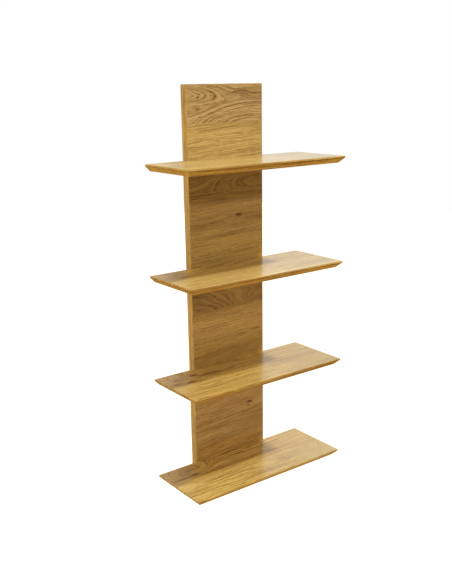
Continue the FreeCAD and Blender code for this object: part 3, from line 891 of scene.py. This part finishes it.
# %% The edge bands: the way of the grain, a sheet of their own, and the bands that they finish
upright = (0.0, math.radians(90), 0.0)
level = (0.0, 0.0, 0.0)
band_stave = [((1.20, 1.13, 1.12), 1.0, 0.0, 1.0)]
band_kinds = [
    ("upright", upright, 5.0, ["panel_edge_left", "panel_edge_right"]),
    ("level", level, 9.0, ["panel_edge_top", "panel_edge_bottom"]),
    ("rear", downwards, 12.0, [f"{name}_back_edge" for name in shelf_names]),
]
for way, turn, sheet, bands in band_kinds:
    band_oak = lacquered_oak(
        f"oak_edge_band_{way}", turn, band_stave, spacing=4 * millimetre, hill_rise=20 * millimetre,
        sheet=sheet, sheen=0.45, index=1.20)
    for name in bands:
        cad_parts[name].material_slots[0].material = band_oak
    print("bands finished:", len(bands), way)

# %% [markdown]
# ## Screws and dowels
#
# Three countersunk connecting screws with a hexagon socket, driven from behind, draw each board up to the
# panel, while two fluted beech dowels keep it level. The keyhole plates have small countersunk wood
# screws. All of these are turned pieces: a lathe profile, a recess in the head, a thread round the core.
# So one Geometry Nodes tree makes them, from points that carry the radius of the profile, and sets the
# copies in a row.

# %% The tree for turned pieces: its named inputs
turned_inputs = {
    "Geometry": "Geometry", "Flutes": "Int", "Groove": "Float",
    "Recessed": "Bool", "Recess Points": "Int", "Recess Inner": "Float", "Recess Outer": "Float",
    "Recess End": "Vector",
    "Threaded": "Bool", "Turns": "Float", "Core": "Float", "Crest": "Float", "Thread Start": "Vector",
    "Thread Length": "Float",
    "Count": "Int", "First": "Vector", "Step": "Vector", "Material": "Material",
}
turned = geometry_tree("turned_pieces", turned_inputs)
given = add_node(turned, "NodeGroupInput").outputs
print("turned_pieces has", len(turned_inputs), "inputs")

# %% The body: an outline swept along the profile, and a recess cut into its head
axis = add_node(turned, "MeshToCurve", {"Mesh": given["Geometry"]})
outline = add_node(turned, "CurveStar", {
    "Points": given["Flutes"], "Inner Radius": given["Groove"], "Outer Radius": 1.0})
radius = add_node(turned, "InputNamedAttribute", {"Name": "turned_radius"}, data_type="FLOAT")
body = add_node(turned, "CurveToMesh", {
    "Curve": axis, "Profile Curve": outline, "Fill Caps": True, "Scale": radius})
plunge = add_node(turned, "CurvePrimitiveLine", {
    "Start": (0.0, millimetre, 0.0), "End": given["Recess End"]})
key = add_node(turned, "CurveStar", {
    "Points": given["Recess Points"], "Inner Radius": given["Recess Inner"],
    "Outer Radius": given["Recess Outer"]})
driver = add_node(turned, "CurveToMesh", {"Curve": plunge, "Profile Curve": key, "Fill Caps": True})
cut = add_node(turned, "MeshBoolean", {"Mesh 1": body, "Mesh 2": driver}, operation="DIFFERENCE")
head = add_node(turned, "Switch", {
    "Switch": given["Recessed"], "False": body, "True": cut}, input_type="GEOMETRY")

# %% The thread, wound round the core, then copies in a row
coil = add_node(turned, "CurveSpiral", {
    "Resolution": 14, "Rotations": given["Turns"], "Height": given["Thread Length"],
    "Start Radius": given["Core"], "End Radius": given["Core"]})
laid_coil = add_node(turned, "Transform", {
    "Geometry": coil, "Translation": given["Thread Start"], "Rotation": (math.radians(90), 0.0, 0.0)})
ridge = add_node(turned, "CurvePrimitiveCircle", {"Resolution": 3, "Radius": given["Crest"]})
wound = add_node(turned, "CurveToMesh", {"Curve": laid_coil, "Profile Curve": ridge, "Fill Caps": True})
thread = add_node(turned, "Switch", {"Switch": given["Threaded"], "True": wound}, input_type="GEOMETRY")
whole = add_node(turned, "JoinGeometry", {"Geometry": head})
turned.links.new(thread.outputs[0], whole.inputs[0])
row = add_node(turned, "MeshLine", {
    "Count": given["Count"], "Start Location": given["First"], "Offset": given["Step"]})
copies = add_node(turned, "InstanceOnPoints", {"Points": row, "Instance": whole})
real = add_node(turned, "RealizeInstances", {"Geometry": copies})
finished = add_node(turned, "SetMaterial", {"Geometry": real, "Material": given["Material"]})
add_node(turned, "NodeGroupOutput", {0: finished})
print("turned_pieces has", len(turned.nodes), "nodes")

# %% Run the tree on a profile and keep a plain mesh
merge_distance = 1e-7
sharp_angle = math.radians(32)


def turn_pieces(name, node, profile, settings):
    line = bpy.data.meshes.new(name)
    line.from_pydata([(0.0, -depth * millimetre, 0.0) for depth, size in profile],
                     [(i, i + 1) for i in range(len(profile) - 1)], [])
    sizes = line.attributes.new("turned_radius", "FLOAT", "POINT")
    for point, (depth, size) in zip(sizes.data, profile):
        point.value = size * millimetre
    mesh = through_tree(line, turned, [settings])
    shape = bmesh.new()
    shape.from_mesh(mesh)
    bmesh.ops.remove_doubles(shape, verts=shape.verts, dist=merge_distance)
    bmesh.ops.recalc_face_normals(shape, faces=shape.faces)
    shape.to_mesh(mesh)
    shape.free()
    mesh.shade_smooth()
    mesh.set_sharp_from_angle(angle=sharp_angle)
    piece = add_object(name, mesh)
    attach(piece, "root")
    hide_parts(node)
    print(name, len(mesh.polygons), "faces")


# %% [markdown]
# ### Zinc plating and beech
#
# Electroplated zinc is a cool pale metal with a faint cloudiness where the crystals change direction. The
# turned screws keep fine rings from the lathe, and the sheet keeps fine marks from rolling. Beech is a
# pale pinkish wood whose short brown flecks make it easy to tell from oak. Noise gives all of these,
# stretched along the way in which the piece was worked.

# %% Noise stretched along the work: the size of its features in millimetres along X, Y and Z
def worked_noise(tree, place, size, detail):
    stretched = add_node(tree, "VectorMath", {0: place, 1: per_metre(*size)}, operation="MULTIPLY")
    return add_node(tree, "TexNoise", {"Vector": stretched, "Scale": 1.0, "Detail": detail})


# %% Zinc-plated steel
crystal_size = 4.5
dull_zinc = linear("#B4BAC0")
bright_zinc = linear("#D8DADC")


def zinc_plating(name, mark_size):
    material = blank_material(name)
    tree = material.node_tree
    place = add_node(tree, "TexCoord").outputs["Object"]
    crystals = add_node(tree, "TexNoise", {
        "Vector": place, "Scale": per_metre(crystal_size)[0], "Detail": 3.0})
    marks = worked_noise(tree, place, mark_size, detail=2.0)
    colour = add_node(tree, "Mix", {
        "Factor_Float": crystals, "A_Color": dull_zinc, "B_Color": bright_zinc}, data_type="RGBA")
    rough = add_node(tree, "MapRange", {
        "Value": marks, "From Min": 0.3, "From Max": 0.7, "To Min": 0.24, "To Max": 0.44})
    relief = add_node(tree, "Bump", {"Height": marks, "Strength": 0.15, "Distance": 0.05 * millimetre})
    surface = add_node(tree, "BsdfPrincipled", {
        "Base Color": colour, "Metallic": 1.0, "Roughness": rough, "Normal": relief})
    add_node(tree, "OutputMaterial", {"Surface": surface})
    return material


turned_zinc = zinc_plating("zinc_plated_turned_steel", (1.1, 0.25, 1.1))
sheet_zinc = zinc_plating("zinc_plated_sheet_steel", (0.29, 1.1, 8.3))
print("zinc finishes:", turned_zinc.name, sheet_zinc.name)

# %% Beech
fibre_size = (1.1, 17, 1.1)
fleck_size = (0.67, 2.9, 0.67)
pale_beech = linear("#E3C7A0")
deep_beech = linear("#CFA878")
fleck_brown = linear("#9C6E48")
beech = blank_material("beech_dowel_rod")
rod = beech.node_tree
rod_place = add_node(rod, "TexCoord").outputs["Object"]
fibres = worked_noise(rod, rod_place, fibre_size, detail=3.0)
flecks = worked_noise(rod, rod_place, fleck_size, detail=1.0)
rod_wood = add_node(rod, "Mix", {
    "Factor_Float": fibres, "A_Color": pale_beech, "B_Color": deep_beech}, data_type="RGBA")
fleck_mask = add_node(rod, "MapRange", {"Value": flecks, "From Min": 0.60, "From Max": 0.68})
rod_colour = add_node(rod, "Mix", {
    "Factor_Float": fleck_mask, "A_Color": rod_wood, "B_Color": fleck_brown}, data_type="RGBA")
rod_relief = add_node(rod, "Bump", {"Height": fibres, "Strength": 0.3, "Distance": 0.1 * millimetre})
rod_surface = add_node(rod, "BsdfPrincipled", {
    "Base Color": rod_colour, "Roughness": 0.62, "Normal": rod_relief})
add_node(rod, "OutputMaterial", {"Surface": rod_surface})
print("beech has", len(rod.nodes), "nodes")

# %% [markdown]
# ### Turning the pieces
#
# Profiles are pairs of depth and radius in millimetres, from the CAD solids. The thread's crest lies on
# the CAD cylinder and the core is cut back below it, so the pieces stay inside the solids they stand for.

# %% Connecting screws and dowels, a row of each for every board
screw_profile = [(0.0, 5.0), (1.5, 3.5), (12.0, 3.5), (12.05, 2.0), (66.0, 2.0), (70.0, 1.2)]
dowel_profile = [(0.0, 3.0), (1.0, 4.0), (39.0, 4.0), (40.0, 3.0)]
socket_corner = 4 / math.sqrt(3) * millimetre
dowel_start = -14 * millimetre
for name in shelf_names:
    screw_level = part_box(name)[1][2] - thickness / 2
    turn_pieces(f"{name}_connecting_screws", f"{name}_screws", screw_profile, {
        "Flutes": 16, "Groove": 1.0,
        "Recessed": True, "Recess Points": 3, "Recess Inner": socket_corner, "Recess Outer": socket_corner,
        "Recess End": (0.0, -4 * millimetre, 0.0),
        "Threaded": True, "Turns": 17.0, "Core": 1.9 * millimetre, "Crest": 0.6 * millimetre,
        "Thread Start": (0.0, -13 * millimetre, 0.0), "Thread Length": 51 * millimetre,
        "Count": 3, "First": (row_start(3), 0.0, screw_level), "Step": across_step,
        "Material": turned_zinc})
    turn_pieces(f"{name}_fluted_dowels", f"{name}_dowels", dowel_profile, {
        "Flutes": 18, "Groove": 0.93, "Recessed": False, "Threaded": False,
        "Count": 2, "First": (row_start(2), dowel_start, screw_level), "Step": across_step,
        "Material": beech})

# %% Plate screws, and the plates' own finish
hanger_profile = [(0.0, 3.5), (1.75, 1.75), (2.0, 1.75), (2.05, 0.9), (12.0, 0.9), (16.0, 0.05)]
plate_offset = 100 * millimetre
lower_screw = -20 * millimetre
screws_apart = 52 * millimetre
for side, across in (("left", -plate_offset), ("right", plate_offset)):
    piece_name = f"hanger_{side}_wood_screws"
    turn_pieces(piece_name, f"hanger_screws_{side}", hanger_profile, {
        "Flutes": 14, "Groove": 1.0,
        "Recessed": True, "Recess Points": 4, "Recess Inner": 0.5 * millimetre,
        "Recess Outer": 1.7 * millimetre, "Recess End": (0.0, -1.2 * millimetre, 0.0),
        "Threaded": True, "Turns": 6.0, "Core": 0.85 * millimetre, "Crest": 0.35 * millimetre,
        "Thread Start": (0.0, -2.6 * millimetre, 0.0), "Thread Length": 9 * millimetre,
        "Count": 2, "First": (across, 0.0, lower_screw), "Step": (0.0, 0.0, screws_apart),
        "Material": turned_zinc})
    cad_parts[f"hanger_plate_{side}"].material_slots[0].material = sheet_zinc
